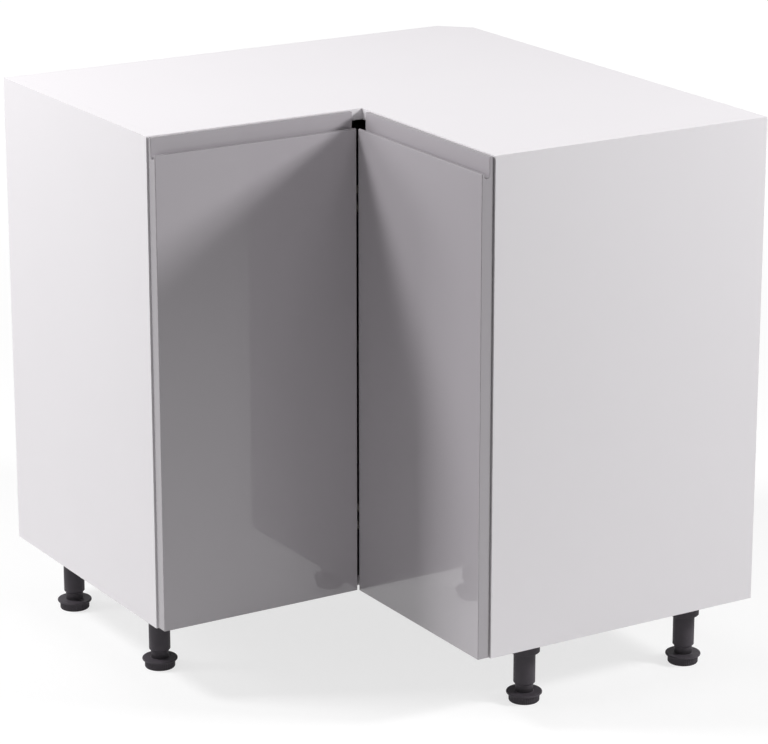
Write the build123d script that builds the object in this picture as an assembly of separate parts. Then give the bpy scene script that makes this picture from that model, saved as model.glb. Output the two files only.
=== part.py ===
from build123d import *
import math
import os

# Corner base cabinet. Millimetres, +Z up, origin on the floor at the centre of the square footprint.
# The back corner is at +X +Y. The left wing's front faces -Y and the right wing's front faces -X.
# Both wings are alike, so the right wing is the left one reflected in the plane x = y.

# Carcase
footprint = 800.0
wing_depth = 455.0
carcase_height = 720.0
floor_gap = 100.0
board = 16.0
back_board = 8.0
corner_cut = 42.5
edging = 1.0

# Shelf
shelf_rise = 354.0
shelf_setback = 22.0
shelf_clearance = 1.0
shelf_pin_radius = 2.5
shelf_pin_depth = 6.0
shelf_pin_reach = 8.0
shelf_hole_pitch = 32.0
shelf_hole_count = 5
shelf_pin_inset = 60.0

# Doors
door_thickness = 18.0
door_gap = 2.0
door_end_inset = 2.5
door_corner_gap = 1.5
door_edge_inset = 1.0
rail_back = 6.0
rail_groove = 8.0
rail_drop = 22.0
rail_depth = 7.5
door_edge_round = 1.2
bumper_radius = 5.0
bumper_clearance = 0.2
bumper_inset = 7.0
bumper_far_inset = 24.0

# Concealed hinges on the right side panel
hinge_low_inset = 110.0
hinge_high_inset = 130.0
cup_radius = 17.5
cup_depth = 12.0
cup_wall = 1.0
cup_notch_depth = 1.4
cup_setback = 22.5
cup_flange_radius = 20.0
cup_flange_thickness = 1.4
cup_wing_half_length = 29.0
cup_wing_half_width = 6.5
cup_screw_offset = 9.5
cup_screw_spread = 22.5
arm_pivot_depth = 7.0
arm_pivot_inset = 5.5
cup_pivot_depth = 0.6
cup_pivot_inset = 11.0
ear_depth = 3.4
ear_half_width = 2.4
link_half_width = 1.8
link_half_height = 8.8
cheek_gap = 0.2
cheek_thickness = 2.0
cheek_half_width = 2.6
pivot_pin_radius = 1.0
arm_half_height = 7.0
arm_height = 10.0
arm_back = 51.0
arm_front = 5.0
arm_web = 4.0
cheek_bite = 1.0
plate_thickness = 3.0
plate_start = 15.0
plate_length = 40.0
plate_half_height = 24.0
plate_screw_setback = 37.0
plate_screw_spread = 16.0

# Fold hinges between the doors
fold_pivot_setback = 11.0
fold_knuckle_radius = 3.5
fold_pin_radius = 1.6
fold_half_height = 20.0
fold_knuckle_half = 7.0
fold_knuckle_gap = 0.3
fold_leaf_thickness = 2.2
fold_leaf_length = 52.0
fold_leaf_bite = 1.0
fold_screw_start = 16.0
fold_screw_pitch = 24.0

# Screws
screw_radius = 1.75
screw_head_radius = 3.5
screw_head_thickness = 1.2
screw_length = 11.0
screw_fit = 0.05
back_screw_length = 30.0
back_screw_inset = 55.0
back_screw_count = 4

# Knock-down fittings
cam_radius = 7.5
cam_height = 12.5
cam_setback = 24.0
cam_stem_radius = 3.0
cam_stem_hole = 3.5
cam_thread_radius = 2.5
cam_thread_length = 10.0
cam_inset = 60.0
cam_count = 3
dowel_radius = 4.0
dowel_in_side = 11.0
dowel_in_panel = 18.0
dowel_from_cam = 32.0
fitting_fit = 0.05

# Legs
leg_side_inset = 52.0
leg_front_inset = 92.0
leg_rear_inset = 82.0
socket_radius = 22.0
socket_thickness = 4.4
socket_plug_radius = 12.9
socket_plug_length = 12.0
collar_length = 21.0
collar_fit = 0.15
collar_chamfer = 0.8
tube_radius = 15.75
tube_bore = 13.3
tube_end = 26.5
tube_chamfer = 2.0
foot_neck_radius = 13.2
foot_neck_top = 68.0
foot_bore_radius = 9.5
foot_flange_radius = 26.0
foot_flange_thickness = 3.6
foot_flange_round = 1.4
foot_ring_height = 11.4
foot_ring_radius = 22.5
foot_rib_depth = 0.7
foot_rib_count = 48
foot_bottom_chamfer = 1.2
bolt_radius = 3.0
bolt_hole = 3.2
bolt_head_radius = 6.5
bolt_head_thickness = 2.5

# How far a cutting shape runs past the face that it opens, and how much deeper
# a blind hole is than what goes into it
cut_reach = 1.0
hole_end = 0.5
edge_tolerance = 0.01

# Planes and heights that follow from the sizes above
half = footprint / 2
front = half - wing_depth
inside = half - board
back_face = half - back_board
carcase_bottom = floor_gap
carcase_top = floor_gap + carcase_height
hinge_heights = (carcase_bottom + hinge_low_inset, carcase_top - hinge_high_inset)
door_back = front - door_gap
door_face = door_back - door_thickness
door_outer_end = -half + door_end_inset
door_inner_end = door_face - door_corner_gap
door_bottom = carcase_bottom + door_edge_inset
door_height = carcase_height - 2 * door_edge_inset
shelf_bottom = carcase_bottom + shelf_rise
leg_ceiling = floor_gap - socket_thickness
plug_bottom = leg_ceiling - socket_plug_length
collar_bottom = leg_ceiling - collar_length
cup_centre = door_outer_end + cup_setback
arm_pivot = (door_back - arm_pivot_depth, cup_centre + arm_pivot_inset)
cup_pivot = (door_back - cup_pivot_depth, cup_centre - cup_pivot_inset)
fold_pivot = front - fold_pivot_setback
diagonal = Plane(origin=(0, 0, 0), z_dir=(1, -1, 0))
X_WAY = (1, 0, 0)
Y_WAY = (0, 1, 0)
Z_WAY = (0, 0, 1)


def block(x0, x1, y0, y1, z0, z1):
    """A box given by its six faces."""
    corner = (Align.MIN, Align.MIN, Align.MIN)
    return Pos(x0, y0, z0) * Box(x1 - x0, y1 - y0, z1 - z0, align=corner)


def prism(points, z0, z1):
    """A plan outline raised from z0 to z1."""
    outline = make_face(Polyline(*points, close=True))
    return Pos(0, 0, z0) * extrude(outline, z1 - z0)


def rod(start, way, radius, length):
    """A round bar from a start point along a direction."""
    base = Plane(origin=start, z_dir=way)
    upright = (Align.CENTER, Align.CENTER, Align.MIN)
    return base * Cylinder(radius, length, align=upright)


def across(piece):
    """The same piece on the other wing."""
    return mirror(piece, about=diagonal)


def both(pieces):
    """The pieces of the left wing with their copies on the right wing."""
    return pieces + [across(piece) for piece in pieces]


def spread(low, high, count):
    """Evenly spaced values from low to high."""
    return [low + (high - low) * i / (count - 1) for i in range(count)]


def cut_all(body, tools):
    """The body without the space of each tool."""
    for tool in tools:
        body = body - tool
    return body


def join_all(pieces):
    """One solid from pieces that meet."""
    body = pieces[0]
    for piece in pieces[1:]:
        body = body + piece
    return body


def save(name, pieces):
    """One STEP file for a node, which may hold several like solids."""
    solids = []
    for piece in pieces:
        solids.extend(piece.solids())
    shape = solids[0] if len(solids) == 1 else Compound(children=solids)
    shape.label = name
    export_step(shape, os.path.join("parts", name + ".step"))


# Board joints: where the cams and dowels sit, for a panel whose underside is at z

def cam_places():
    return spread(front + cam_inset, half - cam_inset, cam_count)


def dowel_places():
    places = cam_places()
    return [places[0] + dowel_from_cam, places[-1] - dowel_from_cam]


def cam_lock(y, z):
    """A round cam set into the panel's underside, slotted for the stem."""
    x = -inside + cam_setback
    body = rod((x, y, z), Z_WAY, cam_radius, cam_height)
    slot = rod((x - 2 * cam_radius, y, z + board / 2), X_WAY, cam_stem_hole, 2 * cam_radius)
    return body - slot


def cam_pocket(y, z):
    x = -inside + cam_setback
    return rod((x, y, z - cut_reach), Z_WAY, cam_radius + fitting_fit, cam_height + cut_reach)


def cam_dowel(y, z):
    """The threaded end in the side panel and the stem that the cam pulls on."""
    middle = z + board / 2
    thread = rod((-inside - cam_thread_length, y, middle), X_WAY, cam_thread_radius, cam_thread_length)
    stem = rod((-inside, y, middle), X_WAY, cam_stem_radius, cam_setback)
    return thread + stem


def wood_dowel(y, z):
    start = (-inside - dowel_in_side, y, z + board / 2)
    return rod(start, X_WAY, dowel_radius, dowel_in_side + dowel_in_panel)


def joint_holes_in_side():
    """Blind holes in the left side panel's inner face for both panels."""
    holes = []
    for z in panel_undersides:
        for y in cam_places():
            start = (-inside - cam_thread_length - hole_end, y, z + board / 2)
            holes.append(rod(start, X_WAY, cam_thread_radius + fitting_fit, cam_thread_length + 2 * hole_end))
        for y in dowel_places():
            start = (-inside - dowel_in_side - hole_end, y, z + board / 2)
            holes.append(rod(start, X_WAY, dowel_radius + fitting_fit, dowel_in_side + 2 * hole_end))
    return holes


def joint_holes_in_panel(z):
    """Edge holes and cam pockets in a flat panel, at its left wing."""
    holes = []
    for y in cam_places():
        start = (-inside - cut_reach, y, z + board / 2)
        holes.append(rod(start, X_WAY, cam_stem_hole, cam_setback + cut_reach))
        holes.append(cam_pocket(y, z))
    for y in dowel_places():
        start = (-inside - cut_reach, y, z + board / 2)
        holes.append(rod(start, X_WAY, dowel_radius + fitting_fit, dowel_in_panel + cut_reach + hole_end))
    return holes


# Flat boards

def wing_outline(edge_front, edge_side, edge_back, cut):
    """The L-shaped plan of a panel: six straight sides and the cut-off back corner."""
    shift = cut * math.tan(math.pi / 8)
    bevel = half - corner_cut - shift
    corner = [(-edge_side, edge_back), (bevel, edge_back), (edge_back, bevel), (edge_back, -edge_side)]
    return [(-edge_side, edge_front)] + corner + [(edge_front, -edge_side), (edge_front, edge_front)]


def side_holes():
    """Rows of blind holes that let the shelf pins be moved."""
    holes = []
    middle = (shelf_hole_count - 1) / 2
    for y in shelf_pin_places():
        for i in range(shelf_hole_count):
            z = shelf_bottom - shelf_pin_radius + (i - middle) * shelf_hole_pitch
            start = (-inside - shelf_pin_depth - hole_end, y, z)
            holes.append(rod(start, X_WAY, shelf_pin_radius + fitting_fit, shelf_pin_depth + 2 * hole_end))
    return holes


def left_side():
    body = block(-half, -inside, front + edging, half, carcase_bottom, carcase_top)
    return cut_all(body, joint_holes_in_side() + side_holes())


def right_side():
    return cut_all(across(left_side()), plate_screw_holes())


def flat_panel(z):
    """The bottom or the top panel, between the sides and in front of the backs."""
    body = prism(wing_outline(front + edging, inside, back_face, back_board), z, z + board)
    holes = joint_holes_in_panel(z)
    body = cut_all(body, both(holes))
    return cut_all(body, back_screw_holes(z))


def bottom_board():
    holes = [rod((x, y, carcase_bottom - cut_reach), Z_WAY, bolt_hole, board + 2 * cut_reach)
             for x, y in leg_places.values()]
    return cut_all(flat_panel(carcase_bottom), holes)


def left_back():
    """The board behind the left wing, mitred where it meets the corner board."""
    shift = back_board * math.tan(math.pi / 8)
    bevel = half - corner_cut
    plan = [(-inside, half), (bevel, half), (bevel - shift, back_face), (-inside, back_face)]
    body = prism(plan, carcase_bottom, carcase_top)
    holes = [back_screw_space(x, z) for x in back_screw_places() for z in back_screw_levels]
    return cut_all(body, holes + [pin_hole(x) for x in back_pin_places()])


def corner_back():
    """The board across the cut-off back corner."""
    shift = back_board * math.tan(math.pi / 8)
    bevel = half - corner_cut
    plan = [(bevel, half), (half, bevel), (back_face, bevel - shift), (bevel - shift, back_face)]
    body = prism(plan, carcase_bottom, carcase_top)
    return cut_all(body, [corner_screw_space(z) for z in back_screw_levels])


def shelf_board():
    setback = front + shelf_setback
    plan = wing_outline(setback + edging, inside - shelf_clearance, back_face - shelf_clearance,
                        back_board + shelf_clearance)
    return prism(plan, shelf_bottom, shelf_bottom + board)


def wing_bands(edge_front, edge_side, z0, z1):
    """The two edging strips along the front edges of an L-shaped panel."""
    left = block(-edge_side, edge_front + edging, edge_front, edge_front + edging, z0, z1)
    right = block(edge_front, edge_front + edging, -edge_side, edge_front, z0, z1)
    return [left, right]


def side_band():
    return block(-half, -inside, front, front + edging, carcase_bottom, carcase_top)


# Shelf pins

def shelf_pin_places():
    return [front + shelf_pin_inset, half - shelf_pin_inset]


def back_pin_places():
    return [half - corner_cut - shelf_pin_inset]


def pin_level():
    return shelf_bottom - shelf_pin_radius


def side_pin(y):
    start = (-inside - shelf_pin_depth, y, pin_level())
    return rod(start, X_WAY, shelf_pin_radius, shelf_pin_depth + shelf_pin_reach)


def back_pin(x):
    start = (x, back_face - shelf_pin_reach, pin_level())
    return rod(start, Y_WAY, shelf_pin_radius, shelf_pin_depth + shelf_pin_reach)


def pin_hole(x):
    start = (x, back_face - cut_reach, pin_level())
    return rod(start, Y_WAY, shelf_pin_radius + fitting_fit, shelf_pin_depth + cut_reach + hole_end)


# Screws through the back boards into the edges of the panels

def back_screw_places():
    return spread(-inside + back_screw_inset, half - corner_cut - back_screw_inset, back_screw_count)


def back_screw(start, way):
    """A countersunk screw with its head flush with the back."""
    head = rod(start, way, screw_head_radius, screw_head_thickness)
    shank = rod(start, way, screw_radius, back_screw_length)
    return head + shank


def back_screw_space(x, z):
    start = (x, half, z)
    head = rod(start, (0, -1, 0), screw_head_radius + screw_fit, screw_head_thickness)
    return head + rod(start, (0, -1, 0), screw_radius + screw_fit, back_board)


def corner_point(z):
    middle = half - corner_cut / 2
    return (middle, middle, z)


def corner_screw_space(z):
    head = rod(corner_point(z), (-1, -1, 0), screw_head_radius + screw_fit, screw_head_thickness)
    return head + rod(corner_point(z), (-1, -1, 0), screw_radius + screw_fit, back_board)


def back_screw_holes(z):
    """Pilot holes in a panel's rear edges."""
    level = z + board / 2
    depth = back_screw_length + hole_end
    holes = []
    for x in back_screw_places():
        holes.append(rod((x, half, level), (0, -1, 0), screw_radius + screw_fit, depth))
    holes = both(holes)
    holes.append(rod(corner_point(level), (-1, -1, 0), screw_radius + screw_fit, depth))
    return holes


def back_screws():
    screws = [back_screw((x, half, z), (0, -1, 0)) for x in back_screw_places() for z in back_screw_levels]
    corner = [back_screw(corner_point(z), (-1, -1, 0)) for z in back_screw_levels]
    return both(screws) + corner


# Doors

def door_profile():
    """Cross-section of a door: flat back, round-edged front, and the J-shaped finger rail on top."""
    edge = door_edge_round
    depth = -door_thickness
    lip_round = (door_thickness - rail_back - rail_groove) / 2
    groove_round = rail_groove / 2
    lip_inner = -rail_back - rail_groove
    lip_top = door_height - rail_drop
    groove_turn = lip_top - rail_depth + groove_round
    bulge = edge * (1 - math.sqrt(0.5))
    front_turn = ThreePointArc((depth + edge, 0), (depth + bulge, bulge), (depth, edge))
    lip_low = lip_top - lip_round
    lip_turn = ThreePointArc((depth, lip_low), (depth + lip_round, lip_top), (lip_inner, lip_low))
    groove_low = (lip_inner + groove_round, groove_turn - groove_round)
    groove_arc = ThreePointArc((lip_inner, groove_turn), groove_low, (-rail_back, groove_turn))
    top_start = (-rail_back, door_height - edge)
    top_middle = (-rail_back + bulge, door_height - bulge)
    top_turn = ThreePointArc(top_start, top_middle, (-rail_back + edge, door_height))
    run = Line((0, 0), (depth + edge, 0)) + front_turn
    run += Line((depth, edge), (depth, lip_low)) + lip_turn
    run += Line((lip_inner, lip_low), (lip_inner, groove_turn)) + groove_arc
    run += Line((-rail_back, groove_turn), top_start) + top_turn
    run += Line((-rail_back + edge, door_height), (0, door_height)) + Line((0, door_height), (0, 0))
    return make_face(run)


def door_slab():
    """The left door before its holes, with its back at the bumpers."""
    width = door_inner_end - door_outer_end
    slab = extrude(Plane.YZ * door_profile(), width)
    slab = Pos(door_outer_end, door_back, door_bottom) * slab
    front_edges = [e for e in slab.edges().filter_by(Axis.Z) if abs(e.center().Y - door_face) < edge_tolerance]
    return fillet(front_edges, door_edge_round)


def left_door_board():
    holes = [screw_hole(place, (0, -1, 0)) for place in fold_screw_points()]
    return cut_all(door_slab(), holes)


def right_door_board():
    holes = [across(screw_hole(place, (0, -1, 0))) for place in fold_screw_points()]
    for z in hinge_heights:
        mouth = (door_back + cut_reach, cup_centre, z)
        holes.append(rod(mouth, (-1, 0, 0), cup_radius + fitting_fit, cup_depth + cut_reach))
        holes.extend(screw_hole(place, (-1, 0, 0)) for place in cup_screw_points(z))
    return cut_all(across(door_slab()), holes)


def screw_hole(place, way):
    """A pilot hole in a door's back, from the face of the fitting inwards."""
    return rod(place, way, screw_radius + screw_fit, screw_length + hole_end)


def bumper(distance, z):
    """A soft pad on a door's back, facing a front edge of the carcase."""
    start = (door_outer_end + distance, door_back, z)
    return rod(start, Y_WAY, bumper_radius, door_gap - bumper_clearance)


def bumper_levels():
    low = carcase_bottom + board / 2
    return [low, carcase_top - board / 2]


# Concealed hinges

def capsule(start, end, radius, z0, z1):
    """A flat bar with round ends between two points of the plan."""
    span = (end[0] - start[0], end[1] - start[1])
    length = math.hypot(*span)
    side = (-span[1] / length * radius, span[0] / length * radius)
    plan = [(start[0] + side[0], start[1] + side[1]), (end[0] + side[0], end[1] + side[1]),
            (end[0] - side[0], end[1] - side[1]), (start[0] - side[0], start[1] - side[1])]
    ends = [rod((x, y, z0), Z_WAY, radius, z1 - z0) for x, y in (start, end)]
    return join_all([prism(plan, z0, z1)] + ends)


def pivot_hole(place, z, reach, clearance):
    start = (place[0], place[1], z - reach)
    return rod(start, Z_WAY, pivot_pin_radius + clearance, 2 * reach)


def hinge_link(z):
    """The short link that turns about the arm's pin and carries the cup's pin."""
    body = capsule(arm_pivot, cup_pivot, link_half_width, z - link_half_height, z + link_half_height)
    reach = link_half_height + cut_reach
    holes = [pivot_hole(arm_pivot, z, reach, fitting_fit), pivot_hole(cup_pivot, z, reach, fitting_fit)]
    return cut_all(body, holes)


def cheek_levels(z):
    inner = link_half_height + cheek_gap
    outer = inner + cheek_thickness
    return [(z - outer, z - inner), (z + inner, z + outer)]


def hinge_arm(z):
    """The arm on its plate, with two cheeks that reach forward into the cup."""
    floor_face = -inside + plate_thickness
    web_x = front + arm_front
    outer = link_half_height + cheek_gap + cheek_thickness
    top = arm_pivot[1] + cheek_half_width
    bar = block(web_x, front + arm_back, floor_face, floor_face + arm_height,
                z - arm_half_height, z + arm_half_height)
    web = block(web_x, web_x + arm_web, floor_face, top, z - outer, z + outer)
    pieces = [bar, web]
    for low, high in cheek_levels(z):
        pieces.append(capsule(arm_pivot, (web_x + cheek_bite, arm_pivot[1]), cheek_half_width, low, high))
    return join_all(pieces) - pivot_hole(arm_pivot, z, outer + cut_reach, fitting_fit)


def hinge_plate(z):
    """The mounting plate screwed to the right side panel."""
    start = front + plate_start
    body = block(start, start + plate_length, -inside, -inside + plate_thickness,
                 z - plate_half_height, z + plate_half_height)
    holes = [rod(place, (0, -1, 0), screw_radius + screw_fit, plate_thickness)
             for place in plate_screw_points(z)]
    return cut_all(body, holes)


def plate_screw_points(z):
    x = front + plate_screw_setback
    y = -inside + plate_thickness
    return [(x, y, z - plate_screw_spread), (x, y, z + plate_screw_spread)]


def plate_screw_holes():
    """Pilot holes in the right side panel."""
    places = [place for z in hinge_heights for place in plate_screw_points(z)]
    return [screw_hole(place, (0, -1, 0)) for place in places]


def hinge_cup(z):
    """The cup in the door's back: its flange, its screw wings, the ears for its pin and the rim's notch,
    where the link lies when the door is open."""
    centre = (door_back, cup_centre, z)
    shell = rod(centre, (-1, 0, 0), cup_radius, cup_depth)
    flange = rod(centre, X_WAY, cup_flange_radius, cup_flange_thickness)
    wing_y = cup_centre + cup_screw_offset
    wing = block(door_back, door_back + cup_flange_thickness, wing_y - cup_wing_half_width,
                 wing_y + cup_wing_half_width, z - cup_wing_half_length, z + cup_wing_half_length)
    hollow_start = (door_back + cup_flange_thickness + cut_reach, cup_centre, z)
    hollow = rod(hollow_start, (-1, 0, 0), cup_radius - cup_wall,
                 cup_depth - cup_wall + cup_flange_thickness + cut_reach)
    body = shell + flange + wing - hollow
    mouth = (door_back + cup_flange_thickness, cup_centre, z)
    within = rod(mouth, (-1, 0, 0), cup_radius, cup_depth)
    ears = []
    for low, high in cheek_levels(z):
        ear = block(cup_pivot[0] - ear_depth, mouth[0], cup_centre - cup_radius,
                    cup_pivot[1] + ear_half_width, low, high)
        ears.append(ear & within)
    body = join_all([body] + ears)
    inner = link_half_height + cheek_gap
    holes = [pivot_hole(cup_pivot, z, inner + cheek_thickness, fitting_fit),
             block(door_back - cup_notch_depth, mouth[0] + cut_reach,
                   cup_centre - cup_flange_radius - cut_reach, cup_pivot[1] - ear_half_width,
                   z - inner, z + inner)]
    holes += [rod((mouth[0], y, level), (-1, 0, 0), screw_radius + screw_fit,
                  cup_flange_thickness) for _, y, level in cup_screw_points(z)]
    return cut_all(body, holes)


def pivot_pin(place, z):
    outer = link_half_height + cheek_gap + cheek_thickness
    return rod((place[0], place[1], z - outer), Z_WAY, pivot_pin_radius, 2 * outer)


def cup_screw_points(z):
    x = door_back + cup_flange_thickness
    y = cup_centre + cup_screw_offset
    return [(x, y, z - cup_screw_spread), (x, y, z + cup_screw_spread)]


def wood_screw(place, way):
    """A pan-headed screw: its head outside the fitting and its shank going in."""
    back = tuple(-value for value in way)
    head = rod(place, back, screw_head_radius, screw_head_thickness)
    return head + rod(place, way, screw_radius, screw_length)


# Fold hinges between the doors, drawn for the left door

def fold_leaf(z, levels):
    """A leaf on the left door's back that bends round the door's end to its knuckles."""
    thick = fold_leaf_thickness
    start = door_inner_end - fold_leaf_length
    plate = block(start, door_inner_end, door_back, door_back + thick,
                  z - fold_half_height, z + fold_half_height)
    pieces = [plate]
    pivot = (fold_pivot, fold_pivot)
    for low, high in levels:
        pieces.append(block(door_inner_end - fold_leaf_bite, fold_pivot + thick / 2, door_back,
                            door_back + thick, z + low, z + high))
        pieces.append(block(fold_pivot - thick / 2, fold_pivot + thick / 2, fold_pivot, door_back + thick,
                            z + low, z + high))
        pieces.append(rod((pivot[0], pivot[1], z + low), Z_WAY, fold_knuckle_radius, high - low))
    body = join_all(pieces)
    reach = fold_half_height + cut_reach
    body = body - rod((pivot[0], pivot[1], z - reach), Z_WAY, fold_pin_radius + fitting_fit, 2 * reach)
    holes = [rod(place, (0, -1, 0), screw_radius + screw_fit, thick) for place in fold_screw_points()
             if abs(place[2] - z) < fold_half_height]
    return cut_all(body, holes)


def fold_screw_points():
    """Two screws in each leaf, on the left door."""
    y = door_back + fold_leaf_thickness
    xs = [door_inner_end - fold_screw_start - i * fold_screw_pitch for i in range(2)]
    return [(x, y, z) for z in hinge_heights for x in xs]


def fold_pin(z):
    reach = fold_half_height
    return rod((fold_pivot, fold_pivot, z - reach), Z_WAY, fold_pin_radius, 2 * reach)


outer_knuckles = [(-fold_half_height, -fold_knuckle_half), (fold_knuckle_half, fold_half_height)]
inner_knuckle = [(-fold_knuckle_half + fold_knuckle_gap, fold_knuckle_half - fold_knuckle_gap)]


# Legs

def leg_socket(x, y):
    """The plate under the bottom panel, with a collar round the tube's top and a plug that fills it."""
    bore = tube_radius + collar_fit
    side = [(0, plug_bottom), (socket_plug_radius, plug_bottom), (socket_plug_radius, leg_ceiling),
            (bore, leg_ceiling), (bore, collar_bottom), (socket_radius - collar_chamfer, collar_bottom),
            (socket_radius, collar_bottom + collar_chamfer), (socket_radius, floor_gap), (0, floor_gap)]
    section = Plane.XZ * make_face(Polyline(*side, close=True))
    turned = Pos(x, y, 0) * revolve(section, Axis.Z)
    return turned - rod((x, y, plug_bottom), Z_WAY, bolt_radius + screw_fit, floor_gap)


def leg_tube(x, y):
    """The fixed tube, with a chamfer at its lower end."""
    side = [(tube_bore, tube_end), (tube_radius - tube_chamfer, tube_end),
            (tube_radius, tube_end + tube_chamfer), (tube_radius, leg_ceiling), (tube_bore, leg_ceiling)]
    section = Plane.XZ * make_face(Polyline(*side, close=True))
    return Pos(x, y, 0) * revolve(section, Axis.Z)


def leg_foot(x, y):
    """The screwed foot: a hollow neck inside the tube, a round-edged flange and a ribbed ring."""
    ring_top = foot_ring_height
    flange_top = ring_top + foot_flange_thickness
    edge = foot_flange_round
    bulge = edge * (1 - math.sqrt(0.5))
    rim = foot_flange_radius
    run = Polyline((0, ring_top), (rim - edge, ring_top))
    run += ThreePointArc((rim - edge, ring_top), (rim - bulge, ring_top + bulge), (rim, ring_top + edge))
    run += Line((rim, ring_top + edge), (rim, flange_top - edge))
    run += ThreePointArc((rim, flange_top - edge), (rim - bulge, flange_top - bulge), (rim - edge, flange_top))
    run += Polyline((rim - edge, flange_top), (foot_neck_radius, flange_top), (foot_neck_radius, foot_neck_top),
                    (foot_bore_radius, foot_neck_top), (foot_bore_radius, flange_top), (0, flange_top),
                    (0, ring_top))
    turned = revolve(Plane.XZ * make_face(run), Axis.Z)
    return Pos(x, y, 0) * (turned + foot_ring())


def foot_ring():
    """The ribbed grip ring, with a bevel where it meets the floor."""
    points = []
    for i in range(2 * foot_rib_count):
        angle = math.pi * i / foot_rib_count
        radius = foot_ring_radius - (foot_rib_depth if i % 2 else 0)
        points.append((radius * math.cos(angle), radius * math.sin(angle)))
    ribbed = prism(points, 0, foot_ring_height)
    low = foot_ring_radius - foot_bottom_chamfer
    bevel_top = foot_bottom_chamfer
    side = [(0, 0), (low, 0), (foot_ring_radius, bevel_top), (foot_ring_radius, foot_ring_height),
            (0, foot_ring_height)]
    envelope = revolve(Plane.XZ * make_face(Polyline(*side, close=True)), Axis.Z)
    return ribbed & envelope


def leg_bolt(x, y):
    """The bolt from inside the cabinet through the bottom panel into the plug."""
    top = carcase_bottom + board
    shank = rod((x, y, plug_bottom), Z_WAY, bolt_radius, top - plug_bottom)
    return shank + rod((x, y, top), Z_WAY, bolt_head_radius, bolt_head_thickness)


panel_undersides = [carcase_bottom, carcase_top - board]
back_screw_levels = [z + board / 2 for z in panel_undersides]
leg_near = front + leg_front_inset
leg_far = half - leg_rear_inset
leg_edge = -half + leg_side_inset
leg_places = {
    "left_front": (leg_edge, leg_near),
    "left_rear": (leg_edge, leg_far),
    "back_corner": (leg_far, leg_far),
    "right_rear": (leg_far, leg_edge),
    "right_front": (leg_near, leg_edge),
}


def make_carcase():
    save("left_side_panel", [left_side()])
    save("right_side_panel", [right_side()])
    save("bottom_panel", [bottom_board()])
    save("top_panel", [flat_panel(carcase_top - board)])
    save("left_back_panel", [left_back()])
    save("right_back_panel", [across(left_back())])
    save("corner_back_panel", [corner_back()])
    bands = [side_band(), across(side_band())]
    for z in panel_undersides:
        bands += wing_bands(front, inside, z, z + board)
    save("carcase_edge_bands", bands)
    save("shelf", [shelf_board()])
    setback = front + shelf_setback
    save("shelf_edge_bands", wing_bands(setback, inside - shelf_clearance, shelf_bottom, shelf_bottom + board))
    pins = [side_pin(y) for y in shelf_pin_places()] + [back_pin(x) for x in back_pin_places()]
    save("shelf_pins", both(pins))


def make_fittings():
    joints = [(y, z) for y in cam_places() for z in panel_undersides]
    save("cam_locks", both([cam_lock(y, z) for y, z in joints]))
    save("cam_dowels", both([cam_dowel(y, z) for y, z in joints]))
    dowels = [wood_dowel(y, z) for y in dowel_places() for z in panel_undersides]
    save("wood_dowels", both(dowels))
    save("back_panel_screws", back_screws())


def make_doors():
    save("left_door", [left_door_board()])
    save("right_door", [right_door_board()])
    pads = [bumper(bumper_inset, z) for z in bumper_levels()]
    save("left_door_bumpers", pads)
    reach = door_inner_end - door_outer_end - bumper_far_inset
    save("right_door_bumpers", [across(bumper(reach, z)) for z in bumper_levels()])


def make_hinges():
    low, high = hinge_heights
    for name, z in (("lower", low), ("upper", high)):
        save(name + "_hinge_plate", [hinge_plate(z)])
        save(name + "_hinge_arm", [hinge_arm(z)])
        save(name + "_hinge_link", [hinge_link(z)])
        save(name + "_hinge_cup", [hinge_cup(z)])
        save(name + "_fold_leaf_left", [fold_leaf(z, outer_knuckles)])
        save(name + "_fold_leaf_right", [across(fold_leaf(z, inner_knuckle))])
    save("hinge_arm_pins", [pivot_pin(arm_pivot, z) for z in hinge_heights])
    save("hinge_cup_pins", [pivot_pin(cup_pivot, z) for z in hinge_heights])
    save("fold_hinge_pins", [fold_pin(z) for z in hinge_heights])
    plate_places = [place for z in hinge_heights for place in plate_screw_points(z)]
    save("hinge_plate_screws", [wood_screw(place, (0, -1, 0)) for place in plate_places])
    cup_places = [place for z in hinge_heights for place in cup_screw_points(z)]
    save("hinge_cup_screws", [wood_screw(place, (-1, 0, 0)) for place in cup_places])
    fold_screws = [wood_screw(place, (0, -1, 0)) for place in fold_screw_points()]
    save("fold_screws_left", fold_screws)
    save("fold_screws_right", [across(screw) for screw in fold_screws])


def make_legs():
    for name, (x, y) in leg_places.items():
        save(name + "_leg_socket", [leg_socket(x, y)])
        save(name + "_leg_tube", [leg_tube(x, y)])
        save(name + "_leg_foot", [leg_foot(x, y)])
    save("leg_bolts", [leg_bolt(x, y) for x, y in leg_places.values()])


os.makedirs("parts", exist_ok=True)
make_carcase()
make_fittings()
make_doors()
make_hinges()
make_legs()
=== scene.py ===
"""The looks of the corner base cabinet: faced boards, gloss doors, moulded legs and plated fittings.

Everything is in metres in the cabinet's own frame: +Z up, the floor at z = 0, the back corner at +X +Y.
"""
import math

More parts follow.
